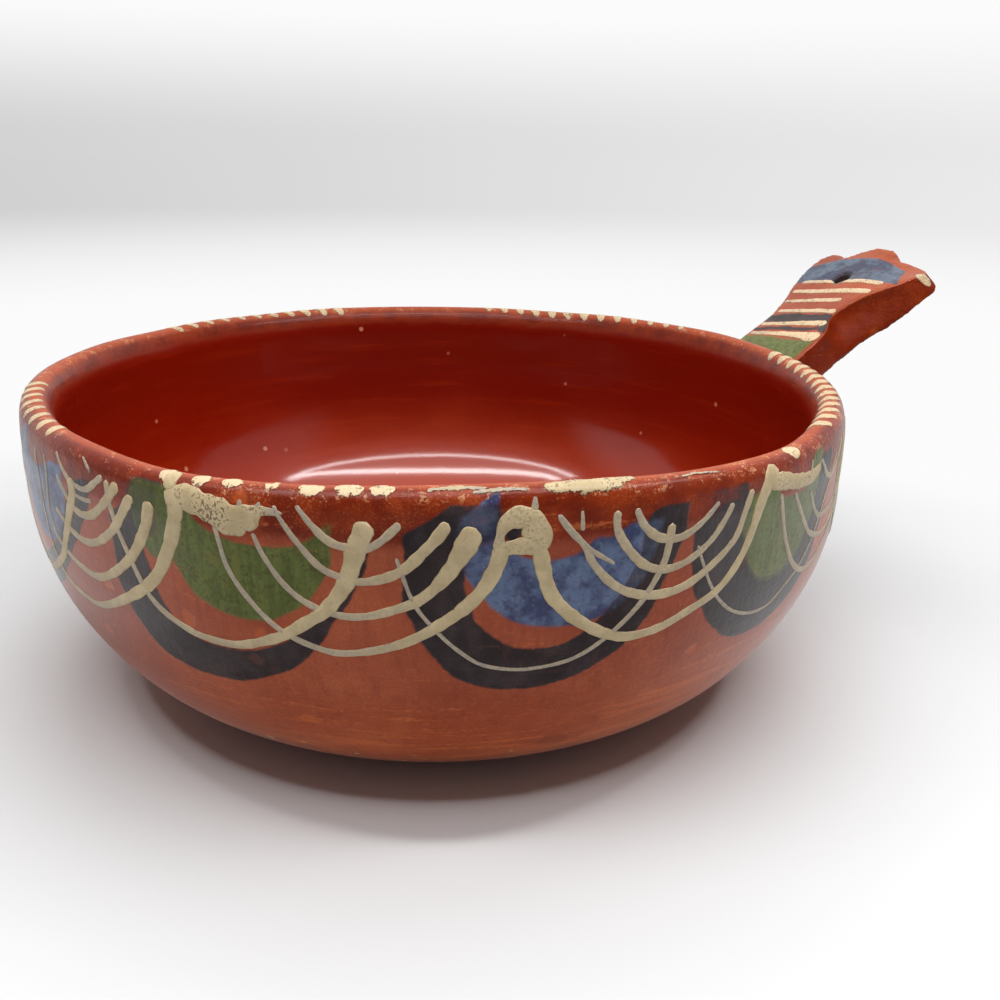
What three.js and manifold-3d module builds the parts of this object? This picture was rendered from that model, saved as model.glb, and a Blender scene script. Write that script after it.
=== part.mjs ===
// Handled earthenware casserole dish: a mould-pressed bowl, the coil laid on its edge as the rim,
// a slab handle, and the coil of soft clay that lutes the handle to the wall.
// Millimetres, +Z up. The bowl's axis is Z, its flat foot stands on z = 0 and the handle points along +X.

import * as THREE from 'three';
import { mergeVertices } from 'three/addons/utils/BufferGeometryUtils.js';
import Module from 'manifold-3d';

// Bowl: the outer face rises from the flat foot in one curve to the belly, then nearly upright to the rim.
const FOOT_RADIUS = 60;
const BELLY_RADIUS = 105;
const BELLY_HEIGHT = 58;
const UPPER_WALL_HEIGHT = 11.5;
const UPPER_WALL_FLARE = 1;
const WALL = 6.5;
const FOOT_EASE = 0.51;   // share of the run from foot to belly that the foot's tangent takes
const BELLY_EASE = 0.58;  // share of the belly's height that the belly's tangent takes

// Rim coil: flat underneath, short upright sides and a domed top.
const RIM_THICKNESS = 8.2;
const RIM_SIDE_HEIGHT = 0.5;
const RIM_DOME_HEIGHT = 8;

// Handle: a slab that rises from the belly, drawn in at a waist and flaring to a three-lobed end.
// Luted on by hand, it sits a little askew.
const HANDLE_LENGTH = 76;         // from the belly, along the slab's middle plane, to the tip
const HANDLE_THICKNESS = 12;
const HANDLE_ABOVE_BELLY = 2.3;   // middle plane at the wall, above the belly's height
const HANDLE_RISE = THREE.MathUtils.degToRad(30);
const HANDLE_LEAN = THREE.MathUtils.degToRad(4);     // sideways, towards +Y
const HANDLE_TWIST = THREE.MathUtils.degToRad(-6);   // about its own length: the +Y edge dips
const ROOT_HALF_WIDTH = 17.5;
const WAIST_HALF_WIDTH = 15.3;
const WAIST_FROM_WALL = 32;
const MIDDLE_LOBE_RADIUS = 14.4;
const SIDE_LOBE_RADIUS = 6.4;
const SIDE_LOBE_OFFSET = 17.2;    // sideways, from the middle line to a side lobe's centre
const SIDE_LOBE_SETBACK = 4.6;    // how far the side lobes' tips stand back from the middle one's
const EDGE_ROUND = 3.4;

// Hanging hole, poked straight down through the sloping slab.
const HOLE_DIAMETER = 6.2;
const HOLE_FROM_TIP = 21.9;
const HOLE_SIDESTEP = 3.8;

// Luting coil: a concave fillet round the handle's root.
const LUTE_BUILD = 3;       // how far it stands out from the slab at the wall
const LUTE_REACH = 9;       // how far it runs out along the slab, measured level from the wall
const LUTE_EDGE = 0.8;      // blunt edge that it ends in
const LUTE_GAP = 0.3;       // joint between pieces of clay

// Facets
const ROUND_SEGMENTS = 72;
const CURVE_STEPS = 12;
const DOME_STEPS = 8;
const FLANK_STEPS = 5;
const LOBE_STEPS = 7;
const EDGE_STEPS = 3;
const HOLE_SEGMENTS = 24;
const LUTE_CORNER_STEPS = 6;
const LUTE_STATIONS = [0, 0.08, 0.2, 0.36, 0.56, 0.78, 1];   // shares of the coil's reach

const SEAT_HEIGHT = BELLY_HEIGHT + UPPER_WALL_HEIGHT;
const RIM_OUTER_RADIUS = BELLY_RADIUS + UPPER_WALL_FLARE;
const RIM_INNER_RADIUS = RIM_OUTER_RADIUS - RIM_THICKNESS;
const MIDDLE_LOBE_X = HANDLE_LENGTH - MIDDLE_LOBE_RADIUS;
const SIDE_LOBE_X = HANDLE_LENGTH - SIDE_LOBE_SETBACK - SIDE_LOBE_RADIUS;
const SLAB_ROUND = Math.min(EDGE_ROUND, HANDLE_THICKNESS / 2 - LUTE_GAP);

const wasm = await Module();
wasm.setup();

// A closed three.js geometry as a solid.
function toSolid(geometry) {
  const bare = geometry.clone();
  bare.deleteAttribute('normal');
  bare.deleteAttribute('uv');
  const merged = mergeVertices(bare);
  const mesh = new wasm.Mesh({
    numProp: 3,
    vertProperties: new Float32Array(merged.attributes.position.array),
    triVerts: new Uint32Array(merged.index.array),
  });
  return new wasm.Manifold(mesh);
}

// A solid as a three.js geometry.
function toGeometry(solid) {
  const mesh = solid.getMesh();
  const geometry = new THREE.BufferGeometry();
  geometry.setAttribute('position', new THREE.BufferAttribute(mesh.vertProperties, 3));
  geometry.setIndex(new THREE.BufferAttribute(mesh.triVerts, 1));
  geometry.computeVertexNormals();
  return geometry;
}

// A profile of (radius, height) points turned about the Z axis.
function turned(profile) {
  return new THREE.LatheGeometry(profile, ROUND_SEGMENTS).rotateX(Math.PI / 2);
}

// The wall's outer face from the foot to the rim's seat.
const lowerWall = new THREE.CubicBezierCurve(
  new THREE.Vector2(FOOT_RADIUS, 0),
  new THREE.Vector2(FOOT_RADIUS + FOOT_EASE * (BELLY_RADIUS - FOOT_RADIUS), 0),
  new THREE.Vector2(BELLY_RADIUS, BELLY_HEIGHT * (1 - BELLY_EASE)),
  new THREE.Vector2(BELLY_RADIUS, BELLY_HEIGHT),
);

// Points of the lower wall moved out along its normal by the given distance.
function lowerWallOffset(distance) {
  const points = [];
  for (let i = 0; i <= CURVE_STEPS; i += 1) {
    const t = i / CURVE_STEPS;
    const tangent = lowerWall.getTangent(t);
    const outward = new THREE.Vector2(tangent.y, -tangent.x);
    points.push(lowerWall.getPoint(t).addScaledVector(outward, distance));
  }
  return points;
}

// The domed top of the rim coil, from its outer side over the crest to its inner side.
function rimDome(outset) {
  const middle = RIM_OUTER_RADIUS - RIM_THICKNESS / 2;
  const start = SEAT_HEIGHT + RIM_SIDE_HEIGHT;
  const points = [];
  for (let i = 0; i <= DOME_STEPS; i += 1) {
    const angle = (Math.PI * i) / DOME_STEPS;
    const radius = middle + (RIM_THICKNESS / 2 + outset) * Math.cos(angle);
    points.push(new THREE.Vector2(radius, start + (RIM_DOME_HEIGHT + outset) * Math.sin(angle)));
  }
  return points;
}

function bowlGeometry() {
  return turned([
    new THREE.Vector2(0, 0),
    ...lowerWallOffset(0),
    new THREE.Vector2(RIM_OUTER_RADIUS, SEAT_HEIGHT),
    new THREE.Vector2(RIM_INNER_RADIUS, SEAT_HEIGHT),
    ...lowerWallOffset(-WALL).reverse(),
    new THREE.Vector2(0, WALL),
  ]);
}

function rimGeometry() {
  const innerFoot = new THREE.Vector2(RIM_INNER_RADIUS, SEAT_HEIGHT);
  return turned([
    innerFoot,
    new THREE.Vector2(RIM_OUTER_RADIUS, SEAT_HEIGHT),
    ...rimDome(0),
    innerFoot,
  ]);
}

// The bowl and rim as one plain ring, one joint larger all over, that trims what is luted to the wall.
function wallTrimmer() {
  const inner = FOOT_RADIUS / 2;
  const start = new THREE.Vector2(inner, -LUTE_GAP);
  const dome = rimDome(LUTE_GAP);
  const crest = dome[DOME_STEPS / 2];
  return toSolid(turned([
    start,
    ...lowerWallOffset(LUTE_GAP),
    ...dome.slice(0, DOME_STEPS / 2 + 1),
    new THREE.Vector2(inner, crest.y),
    start,
  ]));
}

// Half the slab's width at a distance out from the wall, from the root over the waist to the side lobes.
function flankHalfWidth(along) {
  const { lerp, smoothstep } = THREE.MathUtils;
  if (along < WAIST_FROM_WALL) {
    return lerp(ROOT_HALF_WIDTH, WAIST_HALF_WIDTH, smoothstep(along, 0, WAIST_FROM_WALL));
  }
  const shoulder = SIDE_LOBE_OFFSET + SIDE_LOBE_RADIUS;
  return lerp(WAIST_HALF_WIDTH, shoulder, smoothstep(along, WAIST_FROM_WALL, SIDE_LOBE_X));
}

// Where the middle lobe meets a side lobe, on the positive side.
function lobeNotch() {
  const toSide = new THREE.Vector2(SIDE_LOBE_X - MIDDLE_LOBE_X, SIDE_LOBE_OFFSET);
  const gap = toSide.length();
  const along = (MIDDLE_LOBE_RADIUS ** 2 - SIDE_LOBE_RADIUS ** 2 + gap ** 2) / (2 * gap);
  const across = Math.sqrt(Math.max(MIDDLE_LOBE_RADIUS ** 2 - along ** 2, 0));
  const unit = toSide.divideScalar(gap);
  return new THREE.Vector2(MIDDLE_LOBE_X + along * unit.x + across * unit.y, along * unit.y - across * unit.x);
}

// The slab's outline from above: x runs out from the wall along the slab, y across it.
function handleOutline(outset) {
  const notch = lobeNotch();
  const sideAngle = Math.atan2(notch.y - SIDE_LOBE_OFFSET, notch.x - SIDE_LOBE_X);
  const middleAngle = Math.atan2(notch.y, notch.x - MIDDLE_LOBE_X);
  const inside = -HANDLE_THICKNESS - WALL;
  const flank = [inside];
  for (let i = 0; i < FLANK_STEPS; i += 1) {
    flank.push((WAIST_FROM_WALL * i) / FLANK_STEPS);
  }
  for (let i = 0; i < FLANK_STEPS; i += 1) {
    flank.push(WAIST_FROM_WALL + ((SIDE_LOBE_X - WAIST_FROM_WALL) * i) / FLANK_STEPS);
  }
  const outline = new THREE.Shape();
  outline.moveTo(inside, -ROOT_HALF_WIDTH - outset);
  flank.slice(1).forEach((along) => outline.lineTo(along, -flankHalfWidth(along) - outset));
  outline.absarc(SIDE_LOBE_X, -SIDE_LOBE_OFFSET, SIDE_LOBE_RADIUS + outset, -Math.PI / 2, -sideAngle, false);
  outline.absarc(MIDDLE_LOBE_X, 0, MIDDLE_LOBE_RADIUS + outset, -middleAngle, middleAngle, false);
  outline.absarc(SIDE_LOBE_X, SIDE_LOBE_OFFSET, SIDE_LOBE_RADIUS + outset, sideAngle, Math.PI / 2, false);
  flank.reverse().forEach((along) => outline.lineTo(along, flankHalfWidth(along) + outset));
  outline.closePath();
  return outline;
}

// From the slab's own frame, with x along it and z across its thickness, to its place on the bowl.
const slabPlace = new THREE.Matrix4()
  .makeTranslation(BELLY_RADIUS, 0, BELLY_HEIGHT + HANDLE_ABOVE_BELLY)
  .multiply(new THREE.Matrix4().makeRotationZ(HANDLE_LEAN))
  .multiply(new THREE.Matrix4().makeRotationY(-HANDLE_RISE))
  .multiply(new THREE.Matrix4().makeRotationX(HANDLE_TWIST));

function slabSolid(outset) {
  const round = SLAB_ROUND + outset;
  const depth = HANDLE_THICKNESS + 2 * outset - 2 * round;
  const slab = new THREE.ExtrudeGeometry(handleOutline(outset), {
    depth,
    curveSegments: LOBE_STEPS,
    bevelEnabled: true,
    bevelThickness: round,
    bevelSize: round,
    bevelOffset: -round,
    bevelSegments: EDGE_STEPS,
  });
  slab.translate(0, 0, -depth / 2);
  return toSolid(slab.applyMatrix4(slabPlace));
}

function handleGeometry() {
  const hole = new THREE.Vector3(HANDLE_LENGTH - HOLE_FROM_TIP, HOLE_SIDESTEP, 0).applyMatrix4(slabPlace);
  const stick = new THREE.CylinderGeometry(HOLE_DIAMETER / 2, HOLE_DIAMETER / 2, HANDLE_LENGTH, HOLE_SEGMENTS);
  stick.rotateX(Math.PI / 2);
  stick.translate(hole.x, hole.y, hole.z);
  return toGeometry(slabSolid(0).subtract(wallTrimmer()).subtract(toSolid(stick)));
}

// A ring of points round the slab in an upright plane that stands the given distance out from the wall.
// It follows the slab's section, larger by what the coil builds up there.
function luteRing(distance) {
  const level = THREE.MathUtils.clamp(1 - distance / LUTE_REACH, 0, 1);
  const build = LUTE_EDGE + LUTE_BUILD * (1 - Math.sqrt(1 - level ** 2));
  const out = distance / Math.cos(HANDLE_RISE);
  const centreY = flankHalfWidth(Math.max(out, 0)) - SLAB_ROUND;
  const centreZ = HANDLE_THICKNESS / 2 - SLAB_ROUND;
  const ring = [];
  [[1, 1], [-1, 1], [-1, -1], [1, -1]].forEach(([sideY, sideZ], quarter) => {
    for (let i = 0; i <= LUTE_CORNER_STEPS; i += 1) {
      const angle = (Math.PI / 2) * (quarter + i / LUTE_CORNER_STEPS);
      const y = sideY * centreY + (SLAB_ROUND + build) * Math.cos(angle);
      const z = sideZ * centreZ + (SLAB_ROUND + build) * Math.sin(angle);
      ring.push(new THREE.Vector3(out + z * Math.tan(HANDLE_RISE), y, z).applyMatrix4(slabPlace));
    }
  });
  return ring;
}

// A closed skin over rings of equal point counts, with a fan over each end.
function skin(rings) {
  const count = rings[0].length;
  const points = rings.flat();
  const faces = [];
  for (let row = 0; row + 1 < rings.length; row += 1) {
    for (let i = 0; i < count; i += 1) {
      const next = (i + 1) % count;
      const low = row * count;
      const high = low + count;
      faces.push(low + i, low + next, high + next, low + i, high + next, high + i);
    }
  }
  const last = (rings.length - 1) * count;
  for (let i = 1; i + 1 < count; i += 1) {
    faces.push(0, i + 1, i);
    faces.push(last, last + i, last + i + 1);
  }
  const geometry = new THREE.BufferGeometry().setFromPoints(points);
  geometry.setIndex(faces);
  return geometry;
}

function luteGeometry() {
  const distances = [-WALL, ...LUTE_STATIONS.map((share) => share * LUTE_REACH)];
  const fillet = toSolid(skin(distances.map(luteRing)));
  return toGeometry(fillet.subtract(slabSolid(LUTE_GAP)).subtract(wallTrimmer()));
}

const firedClay = { color: 0x8c4634, roughness: 0.55, metalness: 0 };

function piece(name, geometry, finish) {
  const mesh = new THREE.Mesh(geometry, new THREE.MeshStandardMaterial(finish));
  mesh.name = name;
  return mesh;
}

const casserole = new THREE.Group();
casserole.add(
  piece('bowl', bowlGeometry(), { ...firedClay, color: 0x7d2408, roughness: 0.25 }),
  piece('rim_coil', rimGeometry(), firedClay),
  piece('handle', handleGeometry(), { ...firedClay, roughness: 0.4 }),
  piece('luting_coil', luteGeometry(), { ...firedClay, color: 0x5d6a3a }),
);

export default casserole;
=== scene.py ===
"""Handled earthenware casserole: painted clay bowl and slab handle with trailed slip, on a pale table."""

import math
import bpy
import numpy as np
from mathutils import Matrix, Vector, noise
from mathutils.bvhtree import BVHTree


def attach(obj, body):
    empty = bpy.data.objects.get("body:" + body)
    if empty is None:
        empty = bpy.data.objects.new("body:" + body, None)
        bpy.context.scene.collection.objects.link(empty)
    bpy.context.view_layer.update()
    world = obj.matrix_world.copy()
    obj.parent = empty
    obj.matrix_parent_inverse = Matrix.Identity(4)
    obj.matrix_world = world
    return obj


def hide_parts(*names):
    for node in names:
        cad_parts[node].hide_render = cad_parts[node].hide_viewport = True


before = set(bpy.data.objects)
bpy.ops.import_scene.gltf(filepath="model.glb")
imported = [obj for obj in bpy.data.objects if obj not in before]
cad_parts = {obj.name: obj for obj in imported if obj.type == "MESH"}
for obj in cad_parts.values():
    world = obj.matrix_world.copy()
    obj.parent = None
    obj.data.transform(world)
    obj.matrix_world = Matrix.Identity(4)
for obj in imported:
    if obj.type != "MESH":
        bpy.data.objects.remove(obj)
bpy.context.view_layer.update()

MM = 0.001

# Bowl sizes in millimetres, as in the solids
FOOT_RADIUS = 60.0
BELLY_RADIUS = 105.0
BELLY_HEIGHT = 58.0
FOOT_TANGENT = 22.95
BELLY_TANGENT = 33.64
WALL = 6.5
RIM_MIDDLE = 101.9
RIM_HALF = 4.1
RIM_START = 70.0
RIM_DOME = 8.0
RIM_SQUARE = 3.2
BOWL_STEPS = 440

# Handle sizes in millimetres, as in the solids
HANDLE_LENGTH = 76.0
HANDLE_THICKNESS = 12.0
HANDLE_ROOT = (105.0, 0.0, 60.3)
HANDLE_RISE = 30.0
HANDLE_LEAN = 4.0
HANDLE_TWIST = -6.0
ROOT_HALF = 17.5
WAIST_HALF = 15.3
WAIST_AT = 32.0
MIDDLE_LOBE = 14.4
SIDE_LOBE = 6.4
SIDE_LOBE_OFFSET = 17.2
SIDE_LOBE_SETBACK = 4.6
HOLE_RADIUS = 3.1
HOLE_AT = (54.1, 3.8)
HOLE_SOFTENING = 0.7
LUTE_BUILD = 3.0
LUTE_REACH = 9.0
ROOT_DEPTH = 3.2
SLAB_POINTS = 220
SLAB_GRAIN = 0.75
SLAB_SOFTENING = 9

# The pattern is counted in degrees round the bowl from the side seen in the middle of the view.
# The handle stands at this many degrees.
HANDLE_DEGREES = 115.0
SWAG_PITCH = 360.0 / 11.0
SWAG_START = 9.5
HANDLE_SLOT = 3
UNPAINTED = 50.0


def smooth(value, low, high):
    """0 below low, 1 above high, with an eased rise between."""
    t = np.clip((np.asarray(value, float) - low) / (high - low), 0.0, 1.0)
    return t * t * (3.0 - 2.0 * t)


def srgb(red, green, blue):
    """A colour given as 0 to 255 screen values, as shader values."""
    linear = []
    for part in (red, green, blue):
        part = part / 255.0
        linear.append(part / 12.92 if part <= 0.04045 else ((part + 0.055) / 1.055) ** 2.4)
    return (*linear, 1.0)


# Bowl section

def bowl_section():
    """Radius and height along the section: under the foot, up outside, over the rim and down inside."""
    t = np.linspace(0.0, 1.0, 241)[:, None]
    foot = np.array([FOOT_RADIUS, 0.0])
    foot_pull = foot + [FOOT_TANGENT, 0.0]
    belly = np.array([BELLY_RADIUS, BELLY_HEIGHT])
    belly_pull = belly - [0.0, BELLY_TANGENT]
    outer = (1 - t) ** 3 * foot + 3 * (1 - t) ** 2 * t * foot_pull
    outer = outer + 3 * (1 - t) * t ** 2 * belly_pull + t ** 3 * belly
    along = np.gradient(outer, axis=0)
    along = along / np.linalg.norm(along, axis=1, keepdims=True)
    inner = outer + WALL * np.column_stack([-along[:, 1], along[:, 0]])
    turn = np.linspace(0.0, math.pi, 121)
    power = np.where(turn < math.pi / 2, 2.0 / RIM_SQUARE, 1.0)
    reach = np.sign(np.cos(turn)) * np.abs(np.cos(turn)) ** power
    rise = np.abs(np.sin(turn)) ** power
    rim = np.column_stack([RIM_MIDDLE + RIM_HALF * reach, RIM_START + RIM_DOME * rise])
    return np.vstack([[0.0, 0.0], outer, rim, inner[::-1], [0.0, WALL]])


SECTION = bowl_section()
SECTION_U = np.concatenate([[0.0], np.cumsum(np.linalg.norm(np.diff(SECTION, axis=0), axis=1))])
CREST = int(np.argmax(SECTION[:, 1]))
U_FOOT = FOOT_RADIUS
U_CREST = SECTION_U[CREST]
U_END = SECTION_U[-1]
TANGENT = np.gradient(SECTION, SECTION_U, axis=0)
TANGENT = TANGENT / np.linalg.norm(TANGENT, axis=1, keepdims=True)
OUTER_Z, OUTER_FIRST = np.unique(SECTION[1:CREST + 1, 1], return_index=True)
OUTER_U = SECTION_U[1:CREST + 1][OUTER_FIRST]

# Uneven places: middle and spread in degrees, then how far the rim rises, the rim leans out
# and the belly swells, in mm
UNEVEN = ((9.0, 20.0, 1.5, 0.0, 0.0), (45.0, 14.0, -0.9, 0.0, 0.0), (-27.0, 12.0, -0.9, 0.0, 0.0),
          (80.0, 26.0, 0.0, -1.2, 1.0), (-80.0, 26.0, 0.0, 0.0, 1.3))
# Waves round the bowl, out of round and out of level: size in mm, how many go round, and phase
ROUND_WAVES = ((0.45, 2, -2.451), (0.22, 3, -1.1), (0.1, 7, 0.0))
LEVEL_WAVES = ((0.3, 2, 2.4), (0.16, 5, 0.3), (0.08, 13, 1.0))
# Marks of turning inside, in mm: size and pitch on the floor, then on the wall
FLOOR_RINGS = (0.14, 8.4)
WALL_WIPES = (0.01, 7.0)
FACET = 0.06


def up_wall(height):
    """Length along the section at a height on the outside."""
    return np.interp(height, OUTER_Z, OUTER_U)


def waves(table, phi):
    """The sum of some waves round the bowl, in mm."""
    return sum(size * np.sin(count * phi + phase) for size, count, phase in table)


def bowl_face(u, phi, proud=0.0):
    """Points in metres on the bowl's face, raised by proud mm, with the unevenness of hand work."""
    radius = np.interp(u, SECTION_U, SECTION[:, 0])
    height = np.interp(u, SECTION_U, SECTION[:, 1])
    out = np.interp(u, SECTION_U, TANGENT[:, 1])
    up = -np.interp(u, SECTION_U, TANGENT[:, 0])
    lift = smooth(height, 4.0, 70.0)
    rim = smooth(height, 69.0, 77.0)
    belly = smooth(height, 12.0, 40.0) * (1.0 - smooth(height, 58.0, 74.0))
    lean = np.zeros_like(phi)
    for middle, spread, rim_rise, rim_lean, swell in UNEVEN:
        apart = (np.degrees(phi) + HANDLE_DEGREES - middle + 180.0) % 360.0 - 180.0
        share = np.exp(-(apart / spread) ** 2)
        height = height + rim * rim_rise * share
        lean = lean + share * (rim_lean * smooth(height, 45.0, 75.0) + swell * belly)
    inside = smooth(u, U_CREST + 8.0, U_CREST + 30.0)
    floor = inside * smooth(radius, 3.0, 9.0) * (1.0 - smooth(radius, 58.0, 70.0))
    rings = FLOOR_RINGS[0] * floor * np.cos(2 * math.pi * radius / FLOOR_RINGS[1] + 0.6)
    wipes = WALL_WIPES[0] * inside * (1.0 - floor) * np.cos(2 * math.pi * height / WALL_WIPES[1])
    facets = FACET * (1.0 - inside) * lift * np.sin(17 * phi + 0.11 * height) * np.sin(0.23 * height)
    raise_by = proud + rings + wipes + facets
    radius = radius + out * raise_by + lift * waves(ROUND_WAVES, phi) + lean
    height = height + up * raise_by + lift ** 2 * waves(LEVEL_WAVES, phi)
    return MM * np.column_stack([radius * np.cos(phi), radius * np.sin(phi), height])


def round_wall(x, u, proud):
    """A place on the bowl from arc length x and section length u, both in mm."""
    return bowl_face(u, x / BELLY_RADIUS - math.radians(HANDLE_DEGREES), proud)


# Mesh helpers

def read_points(piece):
    """A mesh's vertices as an array."""
    flat = np.empty(len(piece.data.vertices) * 3)
    piece.data.vertices.foreach_get("co", flat)
    return flat.reshape(-1, 3)


def write_points(piece, points):
    """Move a mesh's vertices to new places."""
    piece.data.vertices.foreach_set("co", np.ascontiguousarray(points, dtype=float).ravel())
    piece.data.update()


def read_normals(piece):
    """A mesh's vertex normals as an array."""
    flat = np.empty(len(piece.data.vertices) * 3)
    piece.data.vertices.foreach_get("normal", flat)
    return flat.reshape(-1, 3)


def store(piece, name, values):
    """Keep one number per vertex for the finish to read."""
    layer = piece.data.attributes.new(name=name, type="FLOAT", domain="POINT")
    layer.data.foreach_set("value", np.ascontiguousarray(values, dtype=np.float32))


def only(piece):
    """Select one piece alone and make it active."""
    bpy.ops.object.select_all(action="DESELECT")
    piece.select_set(True)
    bpy.context.view_layer.objects.active = piece


def weld(piece, distance):
    """Merge doubled vertices and turn all faces outwards."""
    only(piece)
    bpy.ops.object.mode_set(mode="EDIT")
    bpy.ops.mesh.select_all(action="SELECT")
    bpy.ops.mesh.remove_doubles(threshold=distance)
    bpy.ops.mesh.normals_make_consistent(inside=False)
    bpy.ops.object.mode_set(mode="OBJECT")


def apply(piece, kind, **settings):
    """Add a modifier with its settings and apply it."""
    only(piece)
    modifier = piece.modifiers.new(kind.lower(), kind)
    for name, value in settings.items():
        setattr(modifier, name, value)
    bpy.ops.object.modifier_apply(modifier=modifier.name)


# Brushed washes, as signed distances in mm that are negative under the paint

ARC = math.radians(1.0) * BELLY_RADIUS
U_TOP = 74.0
U_POWER = 2.25


def brushed_u(degrees, z, u):
    """Distance to a U, round below and open above; u is its middle, half-width, lowest height and lean."""
    middle, half, bottom, lean = u
    away = (degrees - middle - lean * (z - bottom) + 180.0) % 360.0 - 180.0
    wobble = 0.35 * np.sin(0.31 * z + middle) + 0.2 * np.sin(0.83 * z + 2 * middle)
    x = np.abs(away * ARC + wobble)
    depth = U_TOP - bottom
    side = x / (half * ARC)
    drop = np.maximum(U_TOP - z, 0.0) / depth
    reach = np.maximum(side ** U_POWER + drop ** U_POWER, 1e-6) ** (1.0 / U_POWER)
    steep = np.hypot(side ** (U_POWER - 1.0) / (half * ARC), drop ** (U_POWER - 1.0) / depth)
    below = (reach - 1.0) * reach ** (U_POWER - 1.0) / np.maximum(steep, 1e-6)
    return np.where(z < U_TOP, below, x - half * ARC), away


def brushed_band(degrees, z, outer, gap, tops):
    """Distance to a band inside one U and outside another, whose limbs end in slanted tops."""
    inside, away = brushed_u(degrees, z, outer)
    outside, _ = brushed_u(degrees, z, gap)
    left_top = tops[0] + np.clip(1.1 * (away + outer[1]), 0.0, 5.0)
    right_top = tops[1] + np.clip(1.1 * (away - gap[1]), 0.0, 2.0)
    limit = z - np.where(away < 0.0, left_top, right_top)
    return np.maximum(np.maximum(inside, -outside), limit)


# Each swag: the dark band's outer U and gap and the heights of its limbs, then the same for the colour.
# A U is its middle in degrees, half-width in degrees, lowest height in mm and lean in degrees per mm.
FRONT_SWAGS = {
    -2: ((-65.4, 13.0, 36.0, 0.3), (-63.0, 9.0, 45.5, 0.3), (69.0, 70.0),
         (-57.5, 9.2, 51.5, 0.0), (-57.0, 4.0, 69.0, 0.0), (71.0, 70.5)),
    -1: ((-27.2, 16.0, 33.8, 0.12), (-24.3, 12.5, 42.4, 0.12), (67.0, 65.5),
         (-21.1, 10.2, 50.3, 0.0), (-19.2, 7.8, 66.5, 0.0), (70.5, 70.3)),
    0: ((8.9, 15.2, 36.5, 0.066), (10.2, 9.7, 46.4, 0.06), (70.5, 71.6),
        (12.4, 11.0, 51.0, 0.0), (10.9, 5.3, 65.4, 0.0), (73.0, 69.3)),
    1: ((41.4, 14.4, 36.8, 0.0), (42.8, 8.4, 50.6, 0.0), (67.0, 72.0),
        (42.8, 8.6, 49.4, 0.0), (45.0, 5.2, 68.0, 0.0), (69.5, 72.0)),
}
# Single dabs of the brush: which wash, its U, its top, and how solid it is in mm
DABS = (("green", (-32.4, 2.6, 59.5, 0.0), 76.2, 2.0), ("dark", (-33.0, 2.4, 64.0, 0.0), 76.6, 0.16),
        ("dark", (1.6, 1.3, 69.0, 0.0), 75.4, 0.25), ("dark", (3.6, 2.6, 69.0, 0.0), 75.4, 0.4),
        ("dark", (6.9, 0.9, 69.2, 0.0), 72.2, 2.0), ("dark", (32.0, 2.8, 62.0, 0.0), 75.0, 0.08),
        ("green", (48.2, 1.5, 66.5, 0.3), 76.0, 2.0))
SLOTS = range(-6, 5)
GREEN_SLOTS = (-5, -3, -1, 1, 4)


def usual_swag(slot):
    """A swag where the view doesn't show it, a little different each time."""
    middle = SWAG_START + slot * SWAG_PITCH
    sway = math.sin(2.3 * slot)
    outer = (middle - 1.0, 15.0 + 0.4 * sway, 36.0 + sway, 0.05)
    gap = (middle, 10.6 + 0.6 * sway, 46.0 - sway, 0.03)
    dark_tops = (69.5 + 1.5 * sway, 70.5 - sway)
    colour = (middle + 0.8, 10.7, 51.0 + 0.6 * sway, 0.0)
    notch = (middle + 1.5 * sway, 5.8, 65.5 + sway, 0.0)
    return outer, gap, dark_tops, colour, notch, (73.0 + sway, 73.5 - sway)


def wall_washes(degrees, z):
    """Dark, green and blue washes on the outside of the bowl."""
    washes = {name: np.full_like(z, UNPAINTED) for name in ("dark", "green", "blue")}

    def brush(name, distance):
        washes[name] = np.minimum(washes[name], distance)

    for slot in SLOTS:
        if slot == HANDLE_SLOT:
            continue
        outer, gap, dark_tops, colour, notch, colour_tops = FRONT_SWAGS.get(slot, usual_swag(slot))
        brush("dark", brushed_band(degrees, z, outer, gap, dark_tops))
        wash = "green" if slot in GREEN_SLOTS else "blue"
        brush(wash, brushed_band(degrees, z, colour, notch, colour_tops))
    for name, shape, top, solid in DABS:
        inside, _ = brushed_u(degrees, z, shape)
        brush(name, np.maximum(np.maximum(inside, z - top), -solid))
    return washes


def section_rows():
    """Lengths along the section where the turned bowl has a row of vertices, closer near the paint."""
    knots = ((0.0, 5.0), (U_FOOT, 2.4), (up_wall(28.0), 1.15), (up_wall(70.0), 0.9), (U_CREST + 11.0, 1.15),
             (U_END - 66.0, 1.7), (U_END, 1.7))
    rows = []
    for (start, step), (end, _) in zip(knots[:-1], knots[1:]):
        count = max(int(round((end - start) / step)), 1)
        rows.extend(np.linspace(start, end, count, endpoint=False))
    return np.array(rows + [U_END])


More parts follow.
